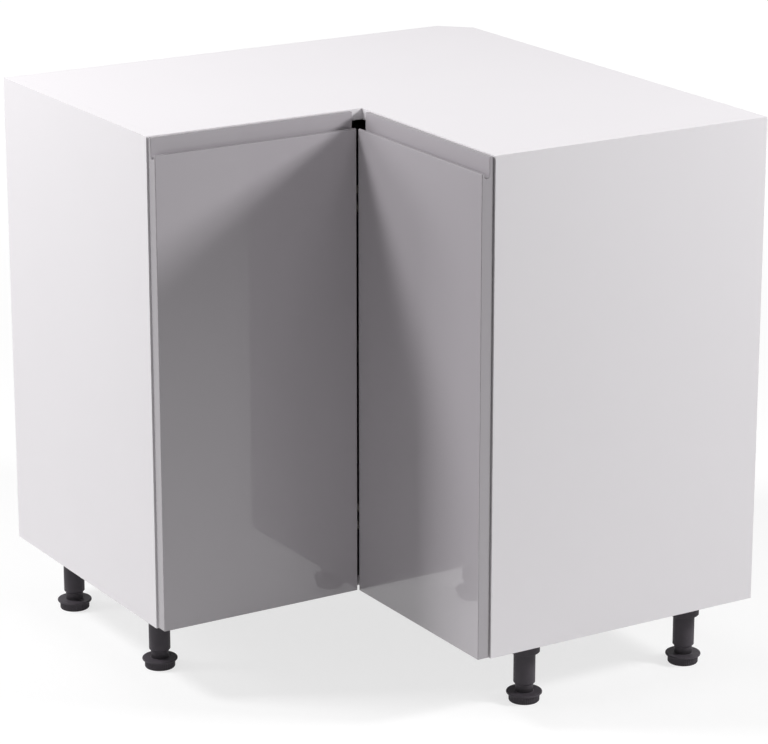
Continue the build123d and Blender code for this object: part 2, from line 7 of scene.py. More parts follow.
import bpy
import numpy as np
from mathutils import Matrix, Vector


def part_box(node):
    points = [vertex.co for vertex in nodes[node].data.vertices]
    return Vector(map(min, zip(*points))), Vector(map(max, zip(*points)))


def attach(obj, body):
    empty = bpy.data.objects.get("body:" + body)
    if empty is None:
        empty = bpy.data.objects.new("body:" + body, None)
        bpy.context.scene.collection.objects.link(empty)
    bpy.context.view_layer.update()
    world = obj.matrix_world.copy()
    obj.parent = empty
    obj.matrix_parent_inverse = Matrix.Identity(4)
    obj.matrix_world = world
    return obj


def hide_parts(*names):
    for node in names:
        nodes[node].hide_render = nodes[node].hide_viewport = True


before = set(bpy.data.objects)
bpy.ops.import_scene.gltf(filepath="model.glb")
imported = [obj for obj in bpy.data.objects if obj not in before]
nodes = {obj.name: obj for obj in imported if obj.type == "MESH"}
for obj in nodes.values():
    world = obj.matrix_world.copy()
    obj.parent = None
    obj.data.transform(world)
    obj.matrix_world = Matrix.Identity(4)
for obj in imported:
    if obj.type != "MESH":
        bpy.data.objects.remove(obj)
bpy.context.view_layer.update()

MM = 0.001
LEGS = ("left_front", "left_rear", "back_corner", "right_rear", "right_front")
LEVELS = ("lower", "upper")


def grey(value, warm=0.0):
    """A colour near grey, a little warmer or cooler."""
    return (value * (1 + warm), value, value * (1 - warm), 1.0)


# Colours of the boards, doors and legs
BOARD_LIGHT = (0.850, 0.826, 0.850, 1.0)
BOARD_SHADE = (0.832, 0.808, 0.832, 1.0)
BOARD_WORN = grey(0.60, 0.03)
EDGING_SHADE = (0.835, 0.811, 0.835, 1.0)
CHIP_DARK = (0.200, 0.115, 0.055, 1.0)
CHIP_LIGHT = (0.520, 0.360, 0.200, 1.0)
DOOR_DARK = (0.461, 0.433, 0.462, 1.0)
DOOR_LIGHT = (0.485, 0.456, 0.486, 1.0)
# Painted shade: darker foil for the door's ends
DOOR_END_PAINTED_SHADE = (0.418, 0.396, 0.419, 1.0)
# Painted shade: darker foil for the finger rail's upper faces, which damps their highlight
DOOR_TOP_PAINTED_SHADE = (0.308, 0.290, 0.309, 1.0)
DOOR_WORN = grey(0.50)
DOOR_BACK = (0.640, 0.622, 0.640, 1.0)
PLASTIC_DARK = (0.057, 0.051, 0.059, 1.0)
PLASTIC_LIGHT = (0.078, 0.070, 0.080, 1.0)
PLASTIC_RUBBED = (0.11, 0.10, 0.11, 1.0)
# Painted shade for a foot's neck next to the flange
PLASTIC_PAINTED_SHADE = (0.006, 0.005, 0.006, 1.0)

# Colours of the fittings
NICKEL_LIGHT, NICKEL_DARK = grey(0.62, 0.03), grey(0.40, 0.04)
STEEL_LIGHT, STEEL_DARK = grey(0.66), grey(0.45)
ZINC_LIGHT, ZINC_DARK = grey(0.50, -0.02), grey(0.36)
BEECH_LIGHT, BEECH_FLECK = (0.70, 0.50, 0.30, 1.0), (0.50, 0.32, 0.17, 1.0)
PAD_DARK, PAD_LIGHT = (0.62, 0.62, 0.60, 1.0), (0.74, 0.74, 0.72, 1.0)

# Boards
BACK_BOARD = 8.0 * MM
EDGING = 1.0 * MM

# Turned surfaces. A flat that ends at a rounded corner gets a row of points at this share of the radius.
GUARD = 0.15
SHARP_ANGLE = 38.0
NEAR = 0.01 * MM

# Legs: the tube, the socket round its top and the mould's two seams. Rounds are radii, corner by corner.
LEG_COLUMNS = 96
TUBE_RADIUS = 15.75 * MM
TUBE_BORE = 13.3 * MM
TUBE_BEVEL = 2.0 * MM
TUBE_ROUNDS = [r * MM for r in (0.3, 0.4, 0.6, 0.0, 0.3)]
SOCKET_RADIUS = 22.0 * MM
SOCKET_THICKNESS = 4.4 * MM
SOCKET_PLUG_RADIUS = 12.9 * MM
SOCKET_PLUG_LENGTH = 12.0 * MM
SOCKET_ROUNDS = [r * MM for r in (0.6, 0.0, 0.0, 0.3, 0.5, 0.5, 0.3)]
COLLAR_FIT = 0.15 * MM
COLLAR_BEVEL = 0.8 * MM
SEAM_TURN = 0.6
SEAM_HEIGHT = 0.12 * MM
SEAM_WIDTH = 0.5 * MM

# Feet: a ribbed ring, hollow under its middle, then a dished flange and the threaded neck
FOOT_COLUMNS = 288
FOOT_ROUNDS = [r * MM for r in (0.2, 0.2, 0.5, 0.8, 0.5, 1.4, 1.7, 0.5, 0.5, 0.4, 0.3, 0.5)]
FOOT_BORE = 9.5 * MM
FOOT_BORE_FLOOR = 2.0 * MM
HOLLOW_HEIGHT = 0.9 * MM
TREAD_TOP = 6.0 * MM
TREAD_WIDTH = 6.8 * MM
RING_HEIGHT = 11.4 * MM
RING_RADIUS = 22.5 * MM
RING_BEVEL = 1.2 * MM
RING_TAPER = 0.25 * MM
RIB_COUNT = 48
RIB_DEPTH = 1.0 * MM
RIB_SHARE = 0.62
RIB_FLANK = 0.5
RIB_FADE = 1.0 * MM
RIB_REACH = 1.5 * MM
RIB_START = 0.1 * MM
FLANGE_THICKNESS = 3.6 * MM
FLANGE_RADIUS = 26.0 * MM
FLANGE_DISH = 0.7 * MM
NECK_RADIUS = 13.2 * MM
NECK_FLARE = 1.2 * MM
# Height where the painted shade on a foot's neck has faded out
NECK_SHADE_END = 27.0 * MM
THREAD_PITCH = 4.0 * MM
THREAD_DEPTH = 0.15 * MM
THREAD_STEP = 0.35 * MM
THREAD_CREST = 0.35
THREAD_START = 0.5 * MM
THREAD_END = 1.0 * MM

# Screws and bolts. The shares are of the head's radius, its thickness or the shank's radius.
SCREW_COLUMNS = 64
SCREW_PITCH = 1.4 * MM
SCREW_HEAD = 3.5 * MM
SCREW_HEAD_THICKNESS = 1.2 * MM
SCREW_SHANK = 1.75 * MM
SCREW_LENGTH = 11.0 * MM
SCREW_TIP = 0.04 * MM
SCREW_NECK = 0.3 * MM
BACK_SCREW_LENGTH = 28.8 * MM
BACK_SCREW_INSET = 55.0 * MM
BACK_SCREW_COUNT = 4
BACK_SCREW_COLUMNS = 40
BACK_SCREW_PITCH = 1.8 * MM
BOLT_HEAD = 6.5 * MM
BOLT_HEAD_THICKNESS = 2.5 * MM
BOLT_SHANK = 3.0 * MM
BOLT_PITCH = 1.5 * MM
HEAD_WALL = 0.45
HEAD_SHOULDER = 0.93
HEAD_DOME = 0.30
RECESS_FROM = 0.68
RECESS_ARM = 0.62
RECESS_WIDTH = 0.17
RECESS_DEPTH = 0.80
RECESS_END_SLOPE = 0.35
RECESS_SIDE_SLOPE = 0.55
THREAD_CUT = 0.28
TIP_LENGTH = 3
TIP_ROWS = 9
DOME_ROWS = 22

# Cams
CAM_COLUMNS = 72
CAM_ROWS = 26
CAM_RADIUS = 7.5 * MM
CAM_HEIGHT = 12.5 * MM
CAM_RIM = 0.5 * MM
CAM_BORDER = 1.2 * MM
CAM_DISH = 0.4 * MM
CAM_RECESS_ARM = 4.6 * MM
CAM_RECESS_WIDTH = 1.3 * MM
CAM_RECESS_DEPTH = 3.0 * MM
CAM_COUNT = 3

# Camera: its place in metres, its angles in degrees, its lens and sensor in millimetres
CAMERA_PLACE = (-2.4288, -4.0000, 1.8405)
CAMERA_YAW = 31.42
CAMERA_PITCH = 17.05
CAMERA_LENS = 155.4
CAMERA_SENSOR = 36.0

# Floor: fades run between two distances from the cabinet's middle
FLOOR_SIDES = 96
FLOOR_RADIUS = 40.0
FLOOR_LEVEL = -0.0002
FLOOR_SEEN = 0.30
FLOOR_LIFT = 0.71
FLOOR_FADE = (0.9, 3.0)
BOUNCE_NEAR = 0.52
BOUNCE_FAR = 0.15
BOUNCE_FADE = (0.6, 1.8)
GLOSS_FADE = (0.5, 2.8)
GLOSS_DIM = 0.50

# Light. Each lamp has its direction from the target, its side in metres and its power in watts.
SKY_TOP = 0.04
SKY_SIDE = 0.60
LAMP_TARGET = (0.0, 0.0, 0.6)
LAMP_DISTANCE = 3.5
LAMPS = {
    "right_lamp": ((1.0, -0.9, 0.64), 0.6, 88.0),
    "left_lamp": ((-1.76, 1.0, 2.0), 0.8, 82.0),
    "low_left_lamp": ((-1.76, 1.0, 0.66), 0.8, 27.0),
}


class Field:
    """A value that changes over a surface or from ray to ray. Arithmetic on it adds Math nodes."""

    def __init__(self, owner, socket):
        self.owner = owner
        self.socket = socket

    def math(self, operation, *others):
        values = dict(enumerate((self,) + others))
        return self.owner.node("ShaderNodeMath", {"operation": operation}, values)

    def __add__(self, other):
        return self.math("ADD", other)

    def __sub__(self, other):
        return self.math("SUBTRACT", other)

    def __rsub__(self, other):
        return self.owner.node("ShaderNodeMath", {"operation": "SUBTRACT"}, {0: other, 1: self})

    def __mul__(self, other):
        return self.math("MULTIPLY", other)

    def __pow__(self, other):
        return self.math("POWER", other)

    __radd__ = __add__
    __rmul__ = __mul__

    def least(self, other):
        return self.math("MINIMUM", other)

    def most(self, other):
        return self.math("MAXIMUM", other)

    def size(self):
        return self.math("ABSOLUTE")

    def step(self, low, high):
        """0 below low, 1 above high, and a smooth rise between them."""
        settings = {"interpolation_type": "SMOOTHSTEP"}
        return self.owner.node("ShaderNodeMapRange", settings, {0: self, 1: low, 2: high})


class Nodes:
    """A shader's node tree."""

    def __init__(self, tree):
        self.tree = tree

    def node(self, kind, settings, sockets, output=0):
        """A new node: its settings first, then the values or links of its sockets."""
        made = self.tree.nodes.new(kind)
        for name, value in settings.items():
            setattr(made, name, value)
        for name, value in sockets.items():
            self.feed(made.inputs[name], value)
        return Field(self, made.outputs[output])

    def feed(self, socket, value):
        """Links a field to the socket, or sets its value."""
        if isinstance(value, Field):
            self.tree.links.new(value.socket, socket)
        else:
            socket.default_value = value

    def ray(self, kind):
        """1 for one kind of ray."""
        return self.node("ShaderNodeLightPath", {}, {}, "Is " + kind + " Ray")

    def seen(self):
        """1 for rays from the camera, from gloss and through glass."""
        return self.ray("Camera").most(self.ray("Glossy")).most(self.ray("Transmission"))


class Paint(Nodes):
    """One material: a shader and the nodes that feed it, on the piece's own coordinates."""

    def __init__(self, name, roughness, metallic=0.0, **constants):
        self.material = bpy.data.materials.new(name)
        self.material.use_nodes = True
        super().__init__(self.material.node_tree)
        self.shader = self.tree.nodes["Principled BSDF"]
        self.set("Roughness", roughness)
        self.set("Metallic", metallic)
        for socket, value in constants.items():
            self.set(socket.replace("_", " "), value)
        self.place = self.node("ShaderNodeTexCoord", {}, {}, "Object")

    def set(self, socket, value):
        """Feeds one of the shader's own sockets."""
        self.feed(self.shader.inputs[socket], value)

    def axes(self):
        """The x, y and z of the place on the piece, in metres."""
        return [self.node("ShaderNodeSeparateXYZ", {}, {0: self.place}, i) for i in range(3)]

    def facing(self, axis):
        """How much the surface faces along one of the piece's own axes, from 0 to 1, in either sense."""
        normal = self.node("ShaderNodeTexCoord", {}, {}, "Normal")
        return self.node("ShaderNodeSeparateXYZ", {}, {0: normal}, axis).size()

    def stretched(self, scales):
        """The place with each axis multiplied, for patterns that run along one way."""
        return self.node("ShaderNodeMapping", {}, {"Vector": self.place, "Scale": scales})

    def noise(self, grain, detail=2.0, place=None):
        """Clouds whose lumps are about one grain across, in metres."""
        sockets = {"Vector": place or self.place, "Scale": 1.0 / grain, "Detail": detail}
        return self.node("ShaderNodeTexNoise", {}, sockets)

    def cells(self, grain, output):
        """Random cells about one grain across: their colour, or the distance from the middle of each."""
        sockets = {"Vector": self.place, "Scale": 1.0 / grain}
        return self.node("ShaderNodeTexVoronoi", {}, sockets, output)

    def mix(self, share, first, second):
        """From the first colour to the second."""
        return self.node("ShaderNodeMix", {"data_type": "RGBA"}, {0: share, 6: first, 7: second}, 2)

    def colour(self, value):
        self.set("Base Color", value)

    def bump(self, height, depth):
        """Fine relief: the height field times a depth in metres."""
        self.set("Normal", self.node("ShaderNodeBump", {}, {"Distance": depth, "Height": height}))


# Materials

def box_distances(paint, node):
    """How far the place is inside each pair of faces of a node's box, for x, y and z."""
    low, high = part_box(node)
    found = []
    for i, along in enumerate(paint.axes()):
        middle = (low[i] + high[i]) / 2
        reach = (high[i] - low[i]) / 2
        found.append(reach - (along - middle).size())
    return found


def arris_distance(paint, node):
    """Distance from the nearest edge of a box-shaped board: the middle one of the three distances."""
    x, y, z = box_distances(paint, node)
    return x.least(y).most(x.most(y).least(z))


def chipboard(paint):
    """Colour of a raw cut: pressed chips in light and dark browns."""
    chips = paint.cells(2.2 * MM, "Color")
    tone = paint.node("ShaderNodeSeparateColor", {}, {0: chips}, 0)
    rough = paint.noise(0.6 * MM, 4.0)
    return paint.mix(tone * 0.7 + rough * 0.3, CHIP_DARK, CHIP_LIGHT)


def faced_board(name, node, raw):
    """Matt white faced board with a fine pearl. raw gives a field that is 1 where the board is unfaced."""
    paint = Paint(name, 0.6, Specular_IOR_Level=0.2)
    clouds = paint.noise(160 * MM, 2.0)
    speckle = paint.noise(0.7 * MM, 2.0)
    pearl = paint.noise(1.6 * MM, 1.0)
    face = paint.mix(clouds * 0.7 + speckle * 0.3, BOARD_LIGHT, BOARD_SHADE)
    edge = arris_distance(paint, node)
    scuff = paint.noise(14 * MM, 3.0).step(0.5, 0.72)
    worn = (1 - edge.step(0.15 * MM, 0.9 * MM)) * scuff
    face = paint.mix(worn * 0.35, face, BOARD_WORN)
    cut = raw(paint, node)
    paint.colour(paint.mix(cut, face, chipboard(paint)))
    paint.set("Roughness", pearl * 0.10 + worn * 0.2 + cut * 0.20 + 0.57)
    paint.bump(pearl * 0.6 + speckle * 0.4 + cut * speckle * 6.0, 0.012 * MM)
    return paint.material


def raw_in_holes(paint, node):
    """1 well inside all the faces of a side board, which is only the wall of a hole."""
    x, y, z = box_distances(paint, node)
    return x.least(y).least(z).step(0.5 * MM, 0.7 * MM)


def raw_in_corner(paint, node):
    """1 well inside the faces of the back board that crosses the corner at 45 degrees.
    Its outer face is the line x + y = constant through the two ends of the cut."""
    low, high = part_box(node)
    x, y, _ = paint.axes()
    outer = high.x + low.x + BACK_BOARD * math.tan(math.pi / 8)
    depth = (outer - (x + y)) * math.sqrt(0.5)
    ends = box_distances(paint, node)[2]
    return depth.least(BACK_BOARD - depth).least(ends).step(0.5 * MM, 0.7 * MM)


def raw_at_cuts(paint, node):
    """1 between the two faces of a flat panel: its cut edges and the walls of its holes."""
    return box_distances(paint, node)[2].step(0.25 * MM, 0.4 * MM)


def edging():
    """White edging strip: smoother than the faces, with fine lines along it from trimming."""
    paint = Paint("white_edging", 0.45, Specular_IOR_Level=0.25)
    lines = paint.noise(0.9 * MM, 1.0, paint.stretched((1.0, 1.0, 0.02)))
    clouds = paint.noise(60 * MM, 2.0)
    paint.colour(paint.mix(clouds, BOARD_LIGHT, EDGING_SHADE))
    paint.set("Roughness", lines * 0.12 + 0.40)
    paint.bump(lines, 0.01 * MM)
    return paint.material


def door_gloss(name, node, across):
    """Grey high gloss foil with a faint ripple. across is the axis of the door's thickness, with the plain
    satin back at its high end. Painted shade darkens the foil on the door's ends, and painted shade darkens
    the upper faces of its finger rail, which are also matter, to damp their highlight."""
    paint = Paint(name, 0.22, Coat_Weight=1.0, Coat_Roughness=0.025, Coat_IOR=1.5)
    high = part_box(node)[1][across]
    depth = high - paint.axes()[across]
    back = (1 - depth.step(0.10 * MM, 0.16 * MM)) * paint.facing(across).step(0.6, 0.9)
    clouds = paint.noise(220 * MM, 1.0)
    flake = paint.noise(0.35 * MM, 1.0)
    edge = arris_distance(paint, node)
    worn = (1 - edge.step(0.3 * MM, 1.6 * MM)) * paint.noise(9 * MM, 3.0).step(0.52, 0.75)
    foil = paint.mix(clouds * 0.8 + flake * 0.2, DOOR_DARK, DOOR_LIGHT)
    ends = paint.facing(1 - across).step(0.6, 0.9)
    tops = paint.facing(2).step(0.15, 0.65)
    # Painted shade: the door's ends get a darker foil colour.
    foil = paint.mix(ends, foil, DOOR_END_PAINTED_SHADE)
    # Painted shade: the finger rail's upper faces get a darker foil colour that damps their highlight.
    foil = paint.mix(tops, foil, DOOR_TOP_PAINTED_SHADE)
    foil = paint.mix(worn * 0.25, foil, DOOR_WORN)
    pearl = paint.noise(1.3 * MM, 1.0)
    paint.colour(paint.mix(back, foil, DOOR_BACK))
    paint.set("Roughness", back * 0.22 + tops * 0.2 + worn * 0.1 + pearl * 0.04 + 0.20)
    paint.set("Coat Weight", (1 - back) * (1 - tops) * (1 - ends * 0.5))
    ripple = paint.noise(9 * MM, 1.0)
    paint.bump(ripple * (1 - back) + pearl * back * 1.8, 0.005 * MM)
    return paint.material


def leg_plastic(name, neck=None):
    """Black moulded plastic: spark-eroded grain, duller patches, and paler rubbed high spots.
    neck gives the two heights between which painted shade on a foot's neck, above the flange, turns from
    black to the plastic's tone."""
    paint = Paint(name, 0.55, Specular_IOR_Level=0.2)
    grain = paint.noise(0.45 * MM, 3.0)
    patches = paint.noise(17 * MM, 3.0)
    rubbed = paint.noise(3.5 * MM, 4.0).step(0.56, 0.72)
    body = paint.mix(patches, PLASTIC_DARK, PLASTIC_LIGHT)
    body = paint.mix(rubbed * 0.18, body, PLASTIC_RUBBED)
    if neck is not None:
        height = paint.axes()[2]
        # Painted shade: the neck is darkened next to the flange, where the tube and the flange shade it.
        painted_shade = height.step(neck[0], neck[0] + 0.2 * MM) * (1 - height.step(*neck))
        body = paint.mix(painted_shade * 0.8, body, PLASTIC_PAINTED_SHADE)
    paint.colour(body)
    paint.set("Roughness", grain * 0.16 + patches * 0.10 + 0.42)
    paint.bump(grain, 0.05 * MM)
    return paint.material


def plated(name, light, dark, roughness, grain):
    """Plated steel: fine rolling marks, slight clouding and a few darker specks."""
    paint = Paint(name, roughness, 1.0)
    marks = paint.noise(grain, 2.0, paint.stretched((1.0, 1.0, 0.12)))
    clouds = paint.noise(9 * MM, 3.0)
    specks = paint.cells(1.7 * MM, "Distance").step(0.02, 0.14)
    paint.colour(paint.mix(specks * 0.75 + clouds * 0.25, dark, light))
    paint.set("Roughness", marks * 0.14 + clouds * 0.10 + (roughness - 0.10))
    paint.bump(marks, 0.008 * MM)
    return paint.material


def beech():
    """Turned beech: pale, with short darker flecks along the dowel."""
    paint = Paint("beech", 0.6)
    grain = paint.noise(1.2 * MM, 3.0, paint.stretched((0.15, 0.15, 1.0)))
    paint.colour(paint.mix(grain.step(0.35, 0.7), BEECH_LIGHT, BEECH_FLECK))
    paint.bump(grain, 0.06 * MM)
    return paint.material


def soft_pad():
    """Clear soft plastic over the door's back."""
    paint = Paint("soft_pad", 0.3)
    clouds = paint.noise(2.0 * MM, 2.0)
    paint.colour(paint.mix(clouds, PAD_DARK, PAD_LIGHT))
    paint.set("Roughness", clouds * 0.1 + 0.22)
    paint.bump(clouds, 0.02 * MM)
    return paint.material


# Surfaces: arrays of rows by columns by xyz

def rounded(corners, radii, steps=5):
    """A line with its corners rounded: each inner corner becomes an arc that is tangent to both runs.
    The arc's start is t = r * tan(turn / 2) before the corner, and its points go round its centre evenly."""
    corners = np.array(corners, float)
    out = [corners[:1]]
    for before, here, after, radius in zip(corners[:-2], corners[1:-1], corners[2:], radii):
        way_in = (here - before) / np.linalg.norm(here - before)
        way_out = (after - here) / np.linalg.norm(after - here)
        turn = math.atan2(way_in[0] * way_out[1] - way_in[1] * way_out[0], float(way_in @ way_out))
        if radius == 0 or abs(turn) < 1e-6:
            out.append(here[None])
            continue
        reach = radius * math.tan(abs(turn) / 2)
        side = math.copysign(1.0, turn) * np.array([-way_in[1], way_in[0]])
        start = here - way_in * reach
        centre = start + side * radius
        angles = np.linspace(0, turn, steps + 1)[:, None]
        spoke = start - centre
        crossed = np.array([-spoke[1], spoke[0]])
        arc = centre + spoke * np.cos(angles) + crossed * np.sin(angles)
        guard = radius * GUARD
        out.append(np.vstack([start - way_in * guard, arc, arc[-1] + way_out * guard]))
    out.append(corners[-1:])
    return np.vstack(out)


def turned(profile, count, shift=None):
    """The profile (radius, height) carried once round the upright axis, as rows by columns.
    shift(radius, height, angle) may change the radius, for ribs, threads and seams."""
    radius, height = profile[:, :1], profile[:, 1:]
    angle = np.linspace(0, 2 * math.pi, count, endpoint=False)[None, :]
    radius = radius + np.zeros_like(angle)
    height = height + np.zeros_like(angle)
    if shift is not None:
        radius, height = shift(radius, height, angle + np.zeros_like(radius))
    return np.stack([radius * np.cos(angle), radius * np.sin(angle), height], axis=-1)


def wrapped_faces(rows, columns, loop):
    """Quads over a grid whose columns wrap round. With loop the rows wrap round too."""
    row = np.arange(rows if loop else rows - 1)[:, None]
    column = np.arange(columns)[None, :]
    after_row = (row + 1) % rows
    after_column = (column + 1) % columns
    quads = [row * columns + column, row * columns + after_column,
             after_row * columns + after_column, after_row * columns + column]
    return np.stack(quads, axis=-1).reshape(-1, 4)


def solid(grid, loop=False):
    """Vertices and faces of one closed solid. Without loop, the first and last rows shrink to poles.
    A negative volume, the sum of a . (b x c) / 6 over the triangles, means that the faces are turned over."""
    rows, columns = grid.shape[:2]
    points = grid.reshape(-1, 3)
    quads = wrapped_faces(rows, columns, loop)
    fans = np.zeros((0, 3), int)
    if not loop:
        ring = np.arange(columns)
        after = (ring + 1) % columns
        last = (rows - 1) * columns
        bottom = np.full(columns, len(points))
        top = np.full(columns, len(points) + 1)
        fans = np.vstack([np.stack([bottom, after, ring], 1), np.stack([top, last + ring, last + after], 1)])
        points = np.vstack([points, grid[0].mean(0), grid[-1].mean(0)])
    triangles = np.vstack([quads[:, [0, 1, 2]], quads[:, [0, 2, 3]], fans])
    a, b, c = (points[triangles[:, i]] for i in range(3))
    if np.einsum("ij,ij->", a - points.mean(0), np.cross(b - points.mean(0), c - points.mean(0))) < 0:
        quads, fans = quads[:, ::-1], fans[:, ::-1]
    return points, quads, fans


def placed(shape, where, along=(0, 0, 1)):
    """A solid moved to a place, with its upright axis laid along another."""
    points, quads, fans = shape
    turn = Vector((0, 0, 1)).rotation_difference(Vector(along)).to_matrix()
    return points @ np.array(turn).T + np.array(where), quads, fans


def piece(name, shapes, material, body, slot, *stood_for):
    """One object from closed solids, smooth but for its sharp edges, that stands for CAD nodes."""
    faces, points, count = [], [], 0
    for corners, quads, fans in shapes:
        faces += (quads + count).tolist() + (fans + count).tolist()
        points.append(corners)
        count += len(corners)
    mesh = bpy.data.meshes.new(name)
    mesh.from_pydata(np.vstack(points).tolist(), [], faces)
    mesh.shade_smooth()
    mesh.set_sharp_from_angle(angle=math.radians(SHARP_ANGLE))
    mesh.materials.append(material)
    made = bpy.data.objects.new(name, mesh)
    bpy.context.scene.collection.objects.link(made)
    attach(made, body)
    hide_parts(*stood_for)


# Legs

def leg_centre(leg):
    """The place on the floor under a leg's axis."""
    low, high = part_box(leg + "_leg_tube")
    return ((low.x + high.x) / 2, (low.y + high.y) / 2, 0.0)


def seam(radius, angle):
    """The mould's parting line: two narrow lines, height * exp(-(arc / width) ** 2), a half turn apart."""
    arc = radius * np.abs(np.sin(angle - SEAM_TURN))
    return SEAM_HEIGHT * np.exp(-(arc / SEAM_WIDTH) ** 2)


def tube_shape():
    """The leg's tube: a bevelled lower end and a straight wall with two mould seams."""
    low, high = (corner.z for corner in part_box("left_front_leg_tube"))
    outer, bore, bevel = TUBE_RADIUS, TUBE_BORE, TUBE_BEVEL
    corners = [(bore, (low + high) / 2), (bore, low), (outer - bevel, low), (outer, low + bevel),
               (outer, high), (bore, high), (bore, (low + high) / 2)]
    profile = rounded(corners, TUBE_ROUNDS)[:-1]
    wall_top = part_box("left_front_leg_socket")[0].z

    def shift(radius, height, angle):
        on_wall = (radius > outer - bevel) & (height > low + bevel) & (height < wall_top)
        return radius + on_wall * seam(radius, angle), height

    return solid(turned(profile, LEG_COLUMNS, shift), loop=True)


def socket_shape():
    """The plate under the bottom panel, with a bevelled collar round the tube's top and a plug inside it."""
    low, high = (corner.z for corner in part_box("left_front_leg_socket"))
    ceiling = high - SOCKET_THICKNESS
    plug_low = ceiling - SOCKET_PLUG_LENGTH
    bore, rim, bevel = TUBE_RADIUS + COLLAR_FIT, SOCKET_RADIUS, COLLAR_BEVEL
    plug = [(0.0, plug_low), (SOCKET_PLUG_RADIUS, plug_low), (SOCKET_PLUG_RADIUS, ceiling)]
    collar = [(bore, ceiling), (bore, low), (rim - bevel, low), (rim, low + bevel)]
    profile = rounded(plug + collar + [(rim, high), (0.0, high)], SOCKET_ROUNDS)

    def shift(radius, height, angle):
        on_rim = (radius > rim - bevel) & (height > low + bevel) & (height < high - bevel)
        return radius - on_rim * seam(radius, angle), height

    return solid(turned(profile[1:-1], LEG_COLUMNS, shift))


def foot_shape():
    """The screwed foot, turned from floor to top. The grooves between the ring's ribs are cut where the wave
    (1 + cos(count * angle)) / 2 falls below RIB_SHARE, and they fade out under the flange. The neck's thread
    is cut where |saw(z / pitch - angle / turn)| rises above THREAD_CREST."""
    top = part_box("left_front_leg_foot")[1].z
    ring_top, flange_top = RING_HEIGHT, RING_HEIGHT + FLANGE_THICKNESS
    bore_floor = flange_top + FOOT_BORE_FLOOR
    ring, flange, neck, bore = RING_RADIUS, FLANGE_RADIUS, NECK_RADIUS, FOOT_BORE
    sole = [(0.0, HOLLOW_HEIGHT), (ring - TREAD_TOP, HOLLOW_HEIGHT), (ring - TREAD_WIDTH, 0.0)]
    wall = [(ring - RING_BEVEL, 0.0), (ring - RING_TAPER, RING_BEVEL), (ring, ring_top)]
    rim = [(flange, ring_top), (flange, flange_top), (neck + NECK_FLARE, flange_top - FLANGE_DISH)]
    upper = [(neck, flange_top), (neck, top), (bore, top), (bore, bore_floor), (0.0, bore_floor)]
    profile = densified(rounded(sole + wall + rim + upper, FOOT_ROUNDS), THREAD_STEP, neck)

    def shift(radius, height, angle):
        ribs = 0.5 + 0.5 * np.cos(RIB_COUNT * angle)
        groove = smooth(np.clip((RIB_SHARE - ribs) / RIB_FLANK, 0, 1))
        fade = smooth(np.clip((ring_top + NEAR - height) / RIB_FADE, 0, 1))
        on_wall = (radius > ring - RIB_REACH) & (radius < ring + 0.5 * MM)
        on_wall &= (height > RIB_START) & (height < ring_top + 0.1 * NEAR)
        turns = height / THREAD_PITCH - angle / (2 * math.pi)
        wave = np.abs((turns % 1.0) * 2 - 1)
        cut = smooth(np.clip((wave - THREAD_CREST) / THREAD_CREST, 0, 1))
        on_neck = (np.abs(radius - neck) < 2 * NEAR) & (height > flange_top + THREAD_START)
        on_neck &= height < top - THREAD_END
        return radius - on_wall * fade * groove * RIB_DEPTH - on_neck * cut * THREAD_DEPTH, height

    return solid(turned(profile[1:-1], FOOT_COLUMNS, shift))


def smooth(t):
    """A rise from 0 to 1 that starts and ends level."""
    return t * t * (3 - 2 * t)


def densified(profile, step, radius):
    """The profile with more points, about a step apart, on its upright run at one radius, for a thread."""
    on_run = np.abs(profile[:, 0] - radius) < NEAR
    out = []
    for start, end, upright in zip(profile[:-1], profile[1:], on_run[:-1] & on_run[1:]):
        count = max(1, int(abs(end[1] - start[1]) / step)) if upright else 1
        share = np.linspace(0, 1, count, endpoint=False)[:, None]
        out.append(start + (end - start) * share)
    out.append(profile[-1:])
    return np.vstack(out)


def make_legs():
    """Three pieces a leg: the tube and the socket stay on the carcase, and the foot moves."""
    plastic = leg_plastic("leg_plastic")
    foot_plastic = leg_plastic("foot_plastic", (RING_HEIGHT + FLANGE_THICKNESS, NECK_SHADE_END))
    tube, socket, foot = tube_shape(), socket_shape(), foot_shape()
    for leg in LEGS:
        parts = (("_tube", tube, plastic, "carcase"), ("_socket", socket, plastic, "carcase"),
                 ("_foot", foot, foot_plastic, leg + "_foot"))
        for part, shape, finish, body in parts:
            shapes = [placed(shape, leg_centre(leg))]
            piece(leg + part, shapes, finish, body, "leg_plastic", leg + "_leg" + part)


# Screws and cams

def cross_recess(x, y, arm, width, depth):
    """The depth of a cross-shaped recess with sloping walls: deepest within two crossing bars."""
    bars = []
    for along, over in ((x, y), (y, x)):
        end = np.clip((arm - np.abs(along)) / (RECESS_END_SLOPE * arm), 0, 1)
        side = np.clip((width - np.abs(over)) / (RECESS_SIDE_SLOPE * width), 0, 1)
        bars.append(smooth(end) * smooth(side))
    return depth * np.maximum(bars[0], bars[1])


